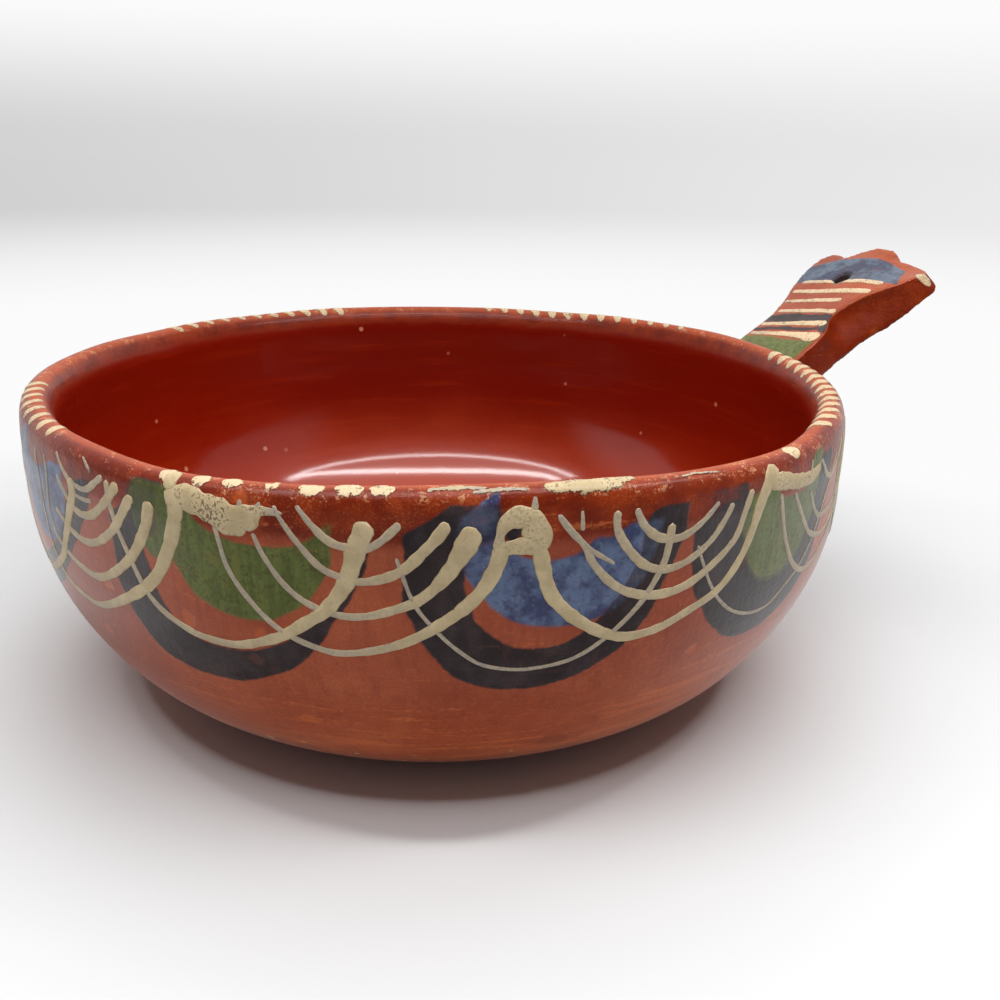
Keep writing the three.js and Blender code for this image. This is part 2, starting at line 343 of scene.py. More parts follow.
def turn_bowl():
    """The bowl with its rim: a section spun round the axis, then made uneven and marked for painting."""
    rows = section_rows()
    radius = np.interp(rows, SECTION_U, SECTION[:, 0])
    height = np.interp(rows, SECTION_U, SECTION[:, 1])
    bpy.ops.object.select_all(action="DESELECT")
    bpy.ops.mesh.primitive_circle_add(vertices=len(rows), radius=BELLY_RADIUS * MM, fill_type="NOTHING")
    bowl = bpy.context.object
    bowl.name = "bowl_shell"
    write_points(bowl, MM * np.column_stack([radius, np.zeros_like(radius), height]))
    closing = {0, len(rows) - 1}
    for edge in bowl.data.edges:
        edge.select = set(edge.vertices) == closing
    for vertex in bowl.data.vertices:
        vertex.select = vertex.index in closing
    bpy.ops.object.mode_set(mode="EDIT")
    bpy.ops.mesh.select_mode(type="EDGE")
    bpy.ops.mesh.delete(type="EDGE")
    bpy.ops.mesh.select_mode(type="VERT")
    bpy.ops.mesh.select_all(action="SELECT")
    bpy.ops.mesh.spin(steps=BOWL_STEPS, angle=2 * math.pi, center=(0, 0, 0), axis=(0, 0, 1))
    bpy.ops.object.mode_set(mode="OBJECT")
    weld(bowl, 0.004 * MM)
    points = read_points(bowl) / MM
    away = np.hypot(points[:, 0], points[:, 1])
    miss = (away[:, None] - radius) ** 2 + (points[:, 2][:, None] - height) ** 2
    u = rows[np.argmin(miss, axis=1)]
    phi = np.arctan2(points[:, 1], points[:, 0])
    write_points(bowl, bowl_face(u, phi))
    degrees = np.degrees(phi) + HANDLE_DEGREES
    indoors = np.where(u > U_CREST, UNPAINTED, 0.0)
    for name, distance in wall_washes(degrees, points[:, 2]).items():
        store(bowl, name + "_wash", distance + indoors)
    store(bowl, "past_rim", u - U_CREST)
    store(bowl, "paint_height", np.where(u > U_CREST, 90.0, points[:, 2]))
    bpy.ops.object.shade_smooth()
    return bowl


# Trailed slip

TRAIL_SIDES = 12


def trail_master(rings):
    """One stroke of slip as a closed tube of the given number of rings, to be copied and laid."""
    bpy.ops.object.select_all(action="DESELECT")
    bpy.ops.mesh.primitive_grid_add(x_subdivisions=TRAIL_SIDES, y_subdivisions=rings, size=1.0)
    master = bpy.context.object
    grid = read_points(master)
    turn = 2 * math.pi * np.rint((grid[:, 0] + 0.5) * TRAIL_SIDES) / TRAIL_SIDES
    share = np.rint((grid[:, 1] + 0.5) * rings) / rings
    return master, turn, share


def lay_trail(master, face, path, halves, worn=0.0, flat=1.0, painted_top_light=0.0):
    """Lay a copy of a stroke along a path of points in mm on a face, with half-widths along it."""
    stroke, turn, share = master
    copy = stroke.copy()
    copy.data = stroke.data.copy()
    bpy.context.scene.collection.objects.link(copy)
    steps = np.concatenate([[0.0], np.cumsum(np.linalg.norm(np.diff(path, axis=0), axis=1))])
    total = steps[-1]
    ease = 0.55 * (0.5 - 0.5 * np.cos(math.pi * share)) + 0.45 * share
    at = ease * total
    spot = np.column_stack([np.interp(at, steps, path[:, 0]), np.interp(at, steps, path[:, 1])])
    run = np.gradient(path, steps, axis=0)
    ahead = np.column_stack([np.interp(at, steps, run[:, 0]), np.interp(at, steps, run[:, 1])])
    ahead = ahead / np.linalg.norm(ahead, axis=1, keepdims=True)
    half = np.interp(ease, np.linspace(0.0, 1.0, len(halves)), halves)
    seed = path[0, 0] + 0.7 * path[-1, 1]
    half = half * (1.0 + 0.06 * np.sin(0.9 * at + seed) + 0.05 * np.sin(2.1 * at + 2.0 * seed))
    near_end = np.minimum(at, total - at)
    cap = np.sqrt(np.clip(1.0 - (1.0 - np.minimum(near_end / half, 1.0)) ** 2, 0.0, 1.0))
    side = half * cap * np.cos(turn)
    dome = (0.1 + 0.07 * half) * flat * cap ** 0.5
    lift = np.sin(turn)
    proud = np.where(lift > 0, dome * np.abs(lift) ** 0.7, -0.3 * np.abs(lift) * cap)
    chart = spot + side[:, None] * np.column_stack([-ahead[:, 1], ahead[:, 0]])
    write_points(copy, face(chart[:, 0], chart[:, 1], proud))
    store(copy, "thin", 1.0 - smooth(half, 0.45, 1.3))
    store(copy, "worn", np.full(len(half), float(worn)))
    # Share of painted light that makes the slip lighter, for strokes that face up
    store(copy, "painted_top_light", np.full(len(half), float(painted_top_light)))
    store(copy, "edge", np.maximum(np.abs(np.cos(turn)), 1.0 - cap))
    return copy


def join_trails(name, strokes, master):
    """Join the laid strokes into one piece and drop the stroke that they were copied from."""
    bpy.ops.object.select_all(action="DESELECT")
    for stroke in strokes:
        stroke.select_set(True)
    bpy.context.view_layer.objects.active = strokes[0]
    bpy.ops.object.join()
    piece = bpy.context.object
    piece.name = name
    weld(piece, 0.002 * MM)
    bpy.ops.object.shade_smooth()
    bpy.data.objects.remove(master[0])
    return piece


def through(points, count=160):
    """A smooth path through points."""
    points = np.asarray(points, float)
    knots = np.arange(len(points))
    pull = np.gradient(points, axis=0)
    at = np.linspace(0.0, len(points) - 1.0, count)
    low = np.minimum(at.astype(int), len(points) - 2)
    t = (at - knots[low])[:, None]
    first, last = points[low], points[low + 1]
    return ((2 * t ** 3 - 3 * t ** 2 + 1) * first + (t ** 3 - 2 * t ** 2 + t) * pull[low]
            + (-2 * t ** 3 + 3 * t ** 2) * last + (t ** 3 - t ** 2) * pull[low + 1])


def on_wall(points):
    """Pattern places in degrees and mm of height as places on the wall's face."""
    points = np.asarray(points, float)
    return np.column_stack([np.radians(points[:, 0]) * BELLY_RADIUS, up_wall(points[:, 1])])


def swag(left, bottom, right, fullness):
    """A hanging stroke through its lowest point: fullness 1 is a half ellipse, 0 a parabola."""
    turn = np.linspace(0.0, math.pi / 2, 60)
    across = np.cos(turn)
    rise = fullness * (1.0 - np.sin(turn)) + (1.0 - fullness) * across ** 2
    limbs = []
    for end in (left, right):
        x = bottom[0] + (end[0] - bottom[0]) * across
        z = bottom[1] + (end[1] - bottom[1]) * rise
        limbs.append(np.column_stack([x, z]))
    return on_wall(np.vstack([limbs[0], limbs[1][-2::-1]]))


# Strokes seen in the view: points in degrees and mm of height, half-widths in mm along them, and how worn
FRONT_STROKES = (
    # First nest of festoons, shortest first
    (((-14.6, 75.2), (-12.9, 71.6), (-11.2, 68.9), (-9.4, 68.0), (-7.1, 68.3), (-4.1, 72.7)),
      (0.35, 0.8, 0.9, 0.8, 0.75), 0.1),
    (((-17.0, 75.0), (-16.3, 72.6), (-14.5, 67.9), (-12.5, 63.7), (-10.3, 61.8), (-7.7, 61.2), (-4.2, 63.5),
      (-1.3, 68.8), (0.6, 72.8)), (0.4, 0.7, 0.85, 1.15, 1.15), 0.1),
    (((-19.4, 69.1), (-18.5, 64.7), (-16.6, 59.3), (-14.2, 55.8), (-11.0, 53.8), (-8.1, 53.8), (-5.1, 55.4),
      (-2.1, 58.0), (0.6, 63.3), (3.25, 72.0)), (0.5, 0.65, 0.8, 1.2, 2.45), 0.0),
    (((-23.8, 69.7), (-22.8, 60.8), (-20.5, 54.6), (-17.1, 48.9), (-12.5, 45.6), (-9.5, 45.5), (-5.5, 47.3),
      (-2.1, 50.2), (2.0, 55.6), (4.2, 60.0), (5.4, 64.6), (5.95, 68.8)), (0.5, 0.6, 0.8, 1.25, 1.75), 0.0),
    # Second nest
    (((19.9, 73.6), (20.9, 70.6), (22.9, 67.6), (25.5, 66.7), (27.9, 68.5), (30.5, 72.3)),
      (0.6, 0.95, 0.9, 0.8, 0.45), 0.1),
    (((17.8, 73.6), (17.9, 70.4), (19.4, 66.0), (21.5, 62.1), (24.1, 60.3), (26.9, 61.0), (29.7, 64.0),
      (31.4, 67.7), (32.6, 71.4)), (0.8, 0.95, 0.9, 0.85, 0.8), 0.2),
    (((11.5, 73.5), (12.8, 71.0), (14.5, 67.7), (15.4, 64.2), (17.6, 59.5), (20.0, 56.6), (23.3, 55.0),
      (27.0, 55.5), (30.8, 58.8), (33.7, 63.3), (34.7, 68.8), (35.6, 73.3)), (0.55, 0.85, 1.05, 0.95, 0.9),
      0.0),
    (((9.6, 68.6), (10.9, 59.2), (12.9, 54.2), (15.5, 50.3), (18.2, 47.5), (20.6, 46.4), (24.2, 47.0),
      (27.8, 49.3), (32.1, 52.4), (35.1, 57.9), (36.6, 64.4), (37.6, 70.8), (39.9, 77.0)),
      (1.6, 1.35, 1.1, 1.0, 1.25, 2.2), 0.0),
    (((14.5, 67.7), (16.0, 65.7), (17.9, 63.4)), (0.6, 0.5, 0.3), 0.0),
    (((14.0, 73.9), (14.1, 70.8)), (0.3, 0.5), 0.3),
    # Nest at the left edge
    (((-46.6, 70.8), (-45.0, 69.7), (-42.7, 70.2), (-39.6, 74.2)), (0.5, 0.65, 0.8, 0.8), 0.1),
    (((-46.0, 67.5), (-44.0, 67.3), (-42.2, 67.7)), (0.5, 0.55, 0.5), 0.1),
    (((-50.0, 70.0), (-46.8, 64.2), (-43.2, 64.1), (-39.4, 68.9), (-37.0, 73.8)), (0.7, 0.8, 1.0, 1.0, 1.3),
      0.1),
    (((-52.0, 61.6), (-47.9, 57.9), (-43.7, 57.7), (-39.0, 62.9), (-34.8, 72.0)),
      (0.7, 0.8, 0.95, 1.1, 1.2), 0.0),
    (((-53.5, 73.0), (-53.3, 69.0), (-54.4, 60.2), (-53.0, 54.0), (-47.2, 50.2), (-42.5, 50.5),
      (-37.0, 57.1), (-33.5, 65.2), (-32.1, 71.9)), (0.4, 0.65, 0.85, 1.2, 1.5), 0.0),
    (((-57.0, 73.0), (-56.5, 67.0), (-56.8, 60.8), (-55.9, 52.0), (-53.8, 45.0), (-49.9, 42.4),
      (-44.0, 42.8), (-34.6, 52.3), (-30.8, 60.7), (-28.6, 70.6), (-29.4, 76.2)),
      (0.4, 0.65, 0.9, 1.45, 2.0), 0.0),
    # Nest at the right edge
    (((41.1, 69.8), (44.1, 58.0), (47.2, 50.4), (52.1, 46.2), (58.0, 49.0), (64.0, 58.5), (70.0, 74.5)),
      (0.6, 0.7, 0.75, 0.9, 1.3), 0.0),
    (((44.5, 68.2), (48.5, 59.9), (51.6, 55.0), (56.7, 53.1), (62.0, 58.0), (67.0, 73.5)),
      (0.55, 0.65, 0.7, 0.8, 1.1), 0.0),
    (((48.8, 66.6), (52.0, 60.1), (55.2, 57.8), (60.6, 59.8), (64.0, 73.0)), (0.5, 0.6, 0.65, 0.75, 0.9),
      0.0),
    (((51.5, 73.0), (54.5, 67.6), (58.0, 67.0), (61.5, 73.0)), (0.5, 0.7, 0.75, 0.7), 0.1),
    # Lines along the dark bands
    (((-38.9, 74.0), (-38.3, 65.3), (-36.4, 57.0), (-33.5, 49.2), (-29.0, 44.8), (-25.0, 43.7),
      (-21.9, 44.2), (-17.5, 47.4), (-14.6, 51.0), (-11.9, 54.9), (-9.7, 61.0), (-8.6, 67.4), (-7.4, 73.0)),
      (0.8, 0.75, 0.9, 1.35, 2.15), 0.0),
    (((-4.6, 66.5), (-2.9, 57.0), (-0.2, 50.2), (2.0, 46.1), (4.3, 43.1), (7.9, 41.6), (11.5, 41.9),
      (14.4, 43.2), (17.2, 46.3), (20.0, 50.9), (21.9, 55.0), (23.3, 59.2), (24.1, 63.6), (24.3, 70.2)),
      (0.4, 0.42, 0.45, 0.6, 1.0), 0.3),
    (((28.1, 64.1), (29.5, 58.8), (30.9, 53.9), (32.7, 49.6), (35.6, 45.4), (39.5, 42.6), (43.4, 42.4),
      (45.8, 44.8), (49.2, 48.4), (52.5, 54.5), (55.1, 62.8), (58.5, 71.0)), (0.35, 0.4, 0.42, 0.5, 0.7),
      0.3),
    (((-74.0, 72.0), (-70.0, 52.0), (-62.0, 42.2), (-53.4, 48.6), (-49.9, 57.1), (-48.2, 62.1),
      (-46.3, 68.2), (-46.8, 71.0)), (0.8, 0.85, 0.9, 1.2, 1.45), 0.0),
    (((-46.7, 70.4), (-48.3, 72.6), (-49.6, 75.2)), (0.8, 0.6, 0.4), 0.1),
    (((-43.6, 76.6), (-42.6, 75.4), (-41.6, 74.0)), (0.25, 0.4, 0.25), 1.2),
    # Smears and pools
    (((-29.3, 75.2), (-27.0, 74.4), (-24.2, 72.9), (-21.8, 71.6), (-20.2, 71.2)), (2.3, 2.9, 3.1, 3.3, 2.4),
      1.0),
    (((-23.8, 70.8), (-21.6, 70.3), (-19.9, 70.9)), (2.3, 2.8, 2.1), 0.5),
    (((-29.4, 75.6), (-29.7, 78.0)), (1.9, 1.5), 0.3),
    (((-21.8, 72.4), (-19.2, 73.6), (-17.4, 73.7), (-16.0, 73.4)), (1.8, 1.5, 0.9, 0.4), 0.9),
    (((-19.9, 69.3), (-19.4, 71.6), (-18.9, 73.4), (-18.5, 75.4)), (1.0, 1.6, 1.2, 0.3), 0.5),
    (((-20.6, 72.6), (-20.7, 75.6)), (1.0, 0.3), 0.3),
    (((5.6, 67.8), (5.7, 70.6), (6.3, 72.6), (7.6, 73.4), (9.1, 72.6), (9.9, 70.2), (9.8, 67.4)),
      (1.3, 0.9, 1.35, 1.8, 1.9, 1.9, 1.7), 0.4),
    (((5.9, 68.1), (8.0, 68.5), (9.8, 68.0)), (1.6, 1.65, 1.6), 0.3),
    (((8.5, 72.4), (8.8, 69.8)), (1.6, 1.9), 0.6),
    (((9.1, 74.2), (9.2, 76.4)), (0.8, 0.35), 0.3),
    (((38.8, 73.2), (41.0, 72.9), (45.0, 71.0), (48.6, 70.3), (51.3, 71.4)), (2.2, 2.2, 1.9, 1.9, 1.2),
      0.6),
    (((48.2, 71.0), (48.6, 74.6)), (0.6, 0.25), 0.2),
    (((50.7, 70.5), (51.3, 72.8)), (0.9, 0.3), 0.2),
    # Slip rubbed off along the front of the rim
    (((-1.5, 77.7), (1.0, 77.9), (4.5, 77.8)), (0.6, 1.1, 0.5), 1.8),
    (((3.0, 77.3), (6.0, 77.6), (8.5, 77.5)), (0.4, 0.8, 0.4), 1.8),
    (((10.2, 77.7), (13.0, 77.8), (17.0, 77.9), (20.6, 78.0)), (1.2, 2.2, 2.2, 1.0), 1.5),
    (((26.0, 77.8), (28.0, 77.9), (31.0, 77.7)), (0.4, 0.7, 0.3), 1.8),
)


# Festoons of a nest round the back: half-width in degrees, lowest and highest heights in mm
NEST = ((16.3, 45.5, 74.0), (11.6, 53.5, 72.5), (8.6, 60.8, 73.0), (5.4, 67.3, 73.0))
BACK_SLOTS = range(2, 9)
SLOTS_WITHOUT_NEST = (HANDLE_SLOT - 1, 8)


def back_trails(master):
    """Slip round the back: a line along each dark band and a nest of festoons between two bands."""
    strokes = []
    for slot in BACK_SLOTS:
        if slot == HANDLE_SLOT:
            continue
        middle = SWAG_START + slot * SWAG_PITCH
        sway = math.sin(1.9 * slot + 0.4)
        line = swag((middle - 14.0, 70.0 + sway), (middle - 0.5, 42.0 + sway), (middle + 13.5, 72.0), 1.0)
        strokes.append(lay_trail(master, round_wall, line, (0.6, 0.6, 0.75, 1.1 + 0.4 * sway, 1.7)))
        if slot in SLOTS_WITHOUT_NEST:
            continue
        nest = middle + 15.0 + sway
        for reach, low, high in NEST:
            festoon = swag((nest - reach, high - 3.0 - sway), (nest + 0.5 * sway, low + 0.6 * sway),
                           (nest + reach, high + 0.8 * sway), 0.5)
            halves = (0.45, 0.7, 0.85, 1.05, 0.9 + 0.04 * reach)
            strokes.append(lay_trail(master, round_wall, festoon, halves, 0.1))
    return strokes


def wall_trails():
    """All the trailed slip on the outside of the bowl."""
    master = trail_master(64)
    strokes = []
    for points, halves, worn in FRONT_STROKES:
        flat = 0.8 if max(halves) > 2.4 else 1.0
        strokes.append(lay_trail(master, round_wall, through(on_wall(points)), halves, worn, flat))
    return join_trails("wall_trails", strokes + back_trails(master), master)


# Groups of dashes on the rim: first and last degrees, how many and how worn
RIM_GROUPS = ((57.0, 102.0, 14, 0.9), (129.0, 171.0, 13, 1.2), (201.0, 236.0, 11, 1.2),
              (282.0, 306.0, 8, 0.9))
# Worn dashes along the front of the rim: degrees, half-length in mm and how worn
FRONT_CHIPS = ((-30.4, 2.2, 1.5), (-26.0, 2.0, 1.5), (-22.2, 2.4, 1.7), (-17.6, 1.9, 1.9), (-13.3, 2.6, 1.6),
               (-9.4, 2.9, 1.5), (-6.0, 2.4, 1.6), (45.0, 2.4, 1.3))
# Points along a dash
DASH_STEPS = 40


def rim_dashes():
    """Slanted dashes of slip laid across the rim, and what is left of them along its front."""
    master = trail_master(16)
    strokes = []
    for first, last, count, worn in RIM_GROUPS:
        for middle in np.linspace(first, last, count):
            sway = math.sin(12.7 * middle)
            x = math.radians(middle + 0.4 * sway) * BELLY_RADIUS
            path = through(((x + 1.6, U_CREST - 3.4 + 0.9 * sway), (x + 0.2, U_CREST - 0.4),
                            (x - 1.5, U_CREST + 2.6 + 0.9 * sway)), DASH_STEPS)
            halves = (1.2, 1.5 + 0.4 * sway, 0.8)
            # Dashes on the rim are lighter by some painted light
            strokes.append(lay_trail(master, round_wall, path, halves, worn + 0.2 * sway, 0.8, 0.45))
    for middle, half, worn in FRONT_CHIPS:
        sway = math.sin(5.3 * middle)
        x = math.radians(middle) * BELLY_RADIUS
        path = through(((x - half, U_CREST - 0.9), (x, U_CREST - 1.5 + 0.4 * sway),
                        (x + half, U_CREST - 1.3)), DASH_STEPS)
        halves = (1.5, 2.3 + 0.3 * sway, 1.8)
        # Rubbed dashes on the front of the rim are lighter by more painted light
        strokes.append(lay_trail(master, round_wall, path, halves, worn, 0.7, 0.8))
    return join_trails("rim_dashes", strokes, master)


# Handle

SLAB = (Matrix.Translation(Vector(HANDLE_ROOT))
        @ Matrix.Rotation(math.radians(HANDLE_LEAN), 4, "Z")
        @ Matrix.Rotation(math.radians(-HANDLE_RISE), 4, "Y")
        @ Matrix.Rotation(math.radians(HANDLE_TWIST), 4, "X"))
SLAB_TURN = np.array(SLAB.to_3x3())
SLAB_PLACE = np.array(SLAB.translation)


def from_slab(points):
    """Places in the slab's own frame, in mm, as places in the dish's frame, in mm."""
    return points @ SLAB_TURN.T + SLAB_PLACE


def to_slab(points):
    """Places in the dish's frame, in mm, as places in the slab's own frame."""
    return (points - SLAB_PLACE) @ SLAB_TURN


HOLE = from_slab(np.array([[*HOLE_AT, 0.0]]))[0]


def slab_outline(count):
    """The slab seen from above: root, waist, side lobe, middle lobe and back."""
    middle_x = HANDLE_LENGTH - MIDDLE_LOBE
    side_x = HANDLE_LENGTH - SIDE_LOBE_SETBACK - SIDE_LOBE
    gap = math.hypot(side_x - middle_x, SIDE_LOBE_OFFSET)
    reach = (MIDDLE_LOBE ** 2 - SIDE_LOBE ** 2 + gap ** 2) / (2 * gap)
    across = math.sqrt(MIDDLE_LOBE ** 2 - reach ** 2)
    unit = ((side_x - middle_x) / gap, SIDE_LOBE_OFFSET / gap)
    notch = (middle_x + reach * unit[0] + across * unit[1], reach * unit[1] - across * unit[0])
    out = np.linspace(-9.0, side_x, 60)
    shoulder = SIDE_LOBE_OFFSET + SIDE_LOBE
    near = ROOT_HALF + (WAIST_HALF - ROOT_HALF) * smooth(out, 0.0, WAIST_AT)
    wide = near + (shoulder - WAIST_HALF) * smooth(out, WAIST_AT, side_x)
    side_end = math.atan2(notch[1] - SIDE_LOBE_OFFSET, notch[0] - side_x)
    side_turn = np.linspace(math.pi / 2, side_end, 24)
    middle_turn = np.linspace(math.atan2(notch[1], notch[0] - middle_x), 0.0, 24)
    flank = np.column_stack([out, wide])
    lobe = np.column_stack([side_x + SIDE_LOBE * np.cos(side_turn),
                            SIDE_LOBE_OFFSET + SIDE_LOBE * np.sin(side_turn)])
    tip = np.column_stack([middle_x + MIDDLE_LOBE * np.cos(middle_turn), MIDDLE_LOBE * np.sin(middle_turn)])
    half = np.vstack([flank, lobe[1:], tip[1:]])
    loop = np.vstack([half, (half * [1.0, -1.0])[-2::-1]])
    closed = np.vstack([loop, loop[:1]])
    steps = np.concatenate([[0.0], np.cumsum(np.linalg.norm(np.diff(closed, axis=0), axis=1))])
    at = np.linspace(0.0, steps[-1], count, endpoint=False)
    return np.column_stack([np.interp(at, steps, closed[:, 0]), np.interp(at, steps, closed[:, 1])])


def wall_radius(height):
    """The bowl's outer radius at a height in mm."""
    return np.interp(height, SECTION[1:CREST + 1, 1], SECTION[1:CREST + 1, 0])


def scoop(along):
    """How far the near flank's upper edge is thumbed in, in mm, at a place along the slab."""
    waist = 5.5 * smooth(along, 26.0, 39.0) * (1.0 - smooth(along, 44.0, 59.0))
    return waist + 4.0 * smooth(along, 44.0, 58.0)


def pinch_slab(local):
    """Thin the lobes to soft edges and thumb in the near flank."""
    along, across, top = local[:, 0], -local[:, 1], local[:, 2]
    near_lobe = smooth(across, 9.0, 23.0) * smooth(along, 46.0, 66.0)
    far_lobe = smooth(-across, 12.0, 23.0) * smooth(along, 50.0, 66.0)
    tip = smooth(along, 64.0, 76.0)
    below = np.minimum(0.45 * far_lobe + 0.35 * tip, 0.45) + 0.3 * near_lobe
    near_end = smooth(across, -4.0, 17.0) * smooth(along, 60.0, 73.0)
    top = top * (1.0 - np.where(top < 0.0, below, 0.42 * near_lobe + 0.48 * near_end))
    along = along + 2.0 * np.exp(-((across - 12.3) / 3.5) ** 2) * smooth(along, 66.0, 69.0)
    across = across + 1.8 * near_lobe
    across = across - scoop(along) * smooth(across, 2.0, 14.0) * smooth(top, -6.0, 4.0)
    return np.column_stack([along, -across, top])


def cut_slab():
    """The flat slab: its outline drawn up to its thickness, pierced and rounded off."""
    outline = slab_outline(SLAB_POINTS)
    bpy.ops.object.select_all(action="DESELECT")
    bpy.ops.mesh.primitive_circle_add(vertices=SLAB_POINTS, radius=0.02, fill_type="NGON")
    handle = bpy.context.object
    handle.name = "handle_slab"
    low = np.column_stack([outline, np.full(SLAB_POINTS, -HANDLE_THICKNESS / 2)])
    write_points(handle, MM * low)
    bpy.ops.object.mode_set(mode="EDIT")
    bpy.ops.mesh.select_all(action="SELECT")
    bpy.ops.mesh.extrude_region_move(TRANSFORM_OT_translate={"value": (0, 0, HANDLE_THICKNESS * MM)})
    bpy.ops.object.mode_set(mode="OBJECT")
    weld(handle, 0.01 * MM)
    write_points(handle, MM * from_slab(read_points(handle) / MM))
    bpy.ops.object.select_all(action="DESELECT")
    bpy.ops.mesh.primitive_cylinder_add(vertices=40, radius=(HOLE_RADIUS - HOLE_SOFTENING) * MM,
                                        depth=5 * HANDLE_THICKNESS * MM, location=tuple(HOLE * MM))
    stick = bpy.context.object
    apply(handle, "BOOLEAN", operation="DIFFERENCE", object=stick, solver="EXACT")
    bpy.data.objects.remove(stick)
    apply(handle, "REMESH", mode="VOXEL", voxel_size=SLAB_GRAIN * MM)
    apply(handle, "SMOOTH", factor=0.5, iterations=SLAB_SOFTENING)
    return handle


def lute(points, normals):
    """Clay built up round the root, in mm sideways from the slab, thicker towards the wall."""
    away = np.hypot(points[:, 0], points[:, 1]) - wall_radius(points[:, 2])
    level = np.clip(1.0 - away / LUTE_REACH, 0.0, 1.0)
    build = 0.3 * smooth(level, 0.0, 0.2) + LUTE_BUILD * (1.0 - np.sqrt(1.0 - level ** 2))
    sideways = normals * [0.0, 1.0, 1.0]
    sideways = sideways / np.maximum(np.linalg.norm(sideways, axis=1, keepdims=True), 1e-6)
    return sideways * build[:, None]


def lumps(points, normals):
    """The lumps that hands leave in a slab, in mm, smaller on its upper face."""
    lump = np.array([noise.noise(Vector(point) * 0.085) for point in points])
    knead = np.array([noise.noise(Vector(point) * 0.21 + Vector((7, 3, 1))) for point in points])
    topside = smooth(normals[:, 2], 0.3, 0.9)
    return normals * ((0.7 * lump + 0.3 * knead) * (1.0 - 0.65 * topside))[:, None]


def press_handle():
    """The slab handle, pinched, luted to the wall and left a little lumpy, then marked for painting."""
    handle = cut_slab()
    upward = (read_normals(handle) @ SLAB_TURN)[:, 2]
    points = from_slab(pinch_slab(to_slab(read_points(handle) / MM)))
    write_points(handle, MM * points)
    normals = read_normals(handle) @ SLAB_TURN
    points = from_slab(to_slab(points) + lute(points, normals) + lumps(points, normals))
    deepest = wall_radius(points[:, 2]) - ROOT_DEPTH
    pull = np.maximum(deepest / np.hypot(points[:, 0], points[:, 1]), 1.0)
    write_points(handle, MM * points * np.column_stack([pull, pull, np.ones_like(pull)]))
    mark_handle(handle, upward)
    only(handle)
    bpy.ops.object.shade_smooth()
    return handle


def stripe_at(first, last, across):
    """Where along the slab a slanting stripe lies, from its far edge to its near edge."""
    return first + (last - first) * (across + 15.0) / 30.0


# Stripes of slip across the handle: mm out from the wall and sideways, far end first, and half-widths
CREAM_STRIPES = (
    (((53.2, -17.6), (54.8, -6.2), (55.6, 2.0), (56.6, 14.6)), (0.9, 1.0, 1.1, 1.2)),
    (((47.8, -17.2), (49.4, -1.4), (50.9, 14.4)), (1.0, 1.3, 1.4)),
    (((42.0, -15.6), (43.6, -4.0), (45.0, 7.3)), (0.8, 1.1, 1.1)),
    (((36.3, -13.6), (37.8, -1.0), (38.9, 10.0)), (0.9, 1.1, 1.2)),
    (((28.6, -14.4), (30.6, -1.0), (32.2, 12.0)), (0.9, 1.2, 1.6)),
    (((23.4, -14.2), (24.6, -2.0), (24.9, 8.0), (24.3, 15.2)), (0.8, 1.1, 1.5, 3.2)),
)
# The touch of slip on the near lobe, placed in the same way
LOBE_TOUCH = ((66.4, 19.4), (66.0, 21.4), (65.6, 23.4))
# Dark stripes: mm out from the wall at the far edge and at the near edge, and half-width
DARK_STRIPES = ((32.0, 35.4, 2.3), (26.0, 29.6, 0.9))
# Washes, in mm out from the wall: the green band's two edges, the blue band's edge as a stripe, and its tip
GREEN_BAND = (8.0, 22.5)
BLUE_EDGE = (53.4, 57.0)
BLUE_TIP = 69.5
# Where the dark wash runs over the near edge: mm out from the wall, half-width, and mm in from the edge
DARK_END = (32.4, 4.6, 3.4)
NEAR_EDGE = 15.6
# Height above the slab from which the stripes are dropped onto it, in mm
DROP = 30.0


def mark_handle(handle, upward):
    """Store the washes on the handle's upper face and painted shade inside the hole; its sides and underside
    are glossy like the rim.
    """
    local = to_slab(read_points(handle) / MM)
    along, across = local[:, 0], -local[:, 1]
    off_top = 5.0 * (0.62 - upward)
    ripple = 0.3 * np.sin(0.35 * across) + 0.1 * np.sin(0.9 * across + 1.0)
    dark = np.full(len(along), UNPAINTED)
    for first, last, half in DARK_STRIPES:
        dark = np.minimum(dark, np.abs(along - stripe_at(first, last, across) + ripple) - half)
    middle, half, inset = DARK_END
    dark_end = np.maximum(np.abs(along - middle) - half, NEAR_EDGE - scoop(along) - inset - across)
    blue_low = stripe_at(*BLUE_EDGE, across)
    blue_high = BLUE_TIP - 0.012 * across ** 2 + ripple
    blue = np.maximum(np.maximum(blue_low - along, along - blue_high), across - 16.5 - 0.5 * (63.0 - along))
    green_low, green_high = GREEN_BAND
    green = np.maximum(np.maximum(along - green_high + ripple, green_low - along), across - 15.0)
    points = from_slab(local)
    # Painted shade: the dark wash also covers the inside of the hole
    hole_painted_shade = np.hypot(points[:, 0] - HOLE[0], points[:, 1] - HOLE[1]) - HOLE_RADIUS - 0.4
    store(handle, "dark_wash", np.minimum(np.maximum(np.minimum(dark, dark_end), off_top), 3.0 * hole_painted_shade))
    store(handle, "green_wash", np.maximum(green, off_top))
    store(handle, "blue_wash", np.maximum(blue, off_top))
    store(handle, "past_rim", np.full(len(along), -30.0))
    store(handle, "paint_height", 40.0 + 50.0 * smooth(upward, 0.6, 0.25))


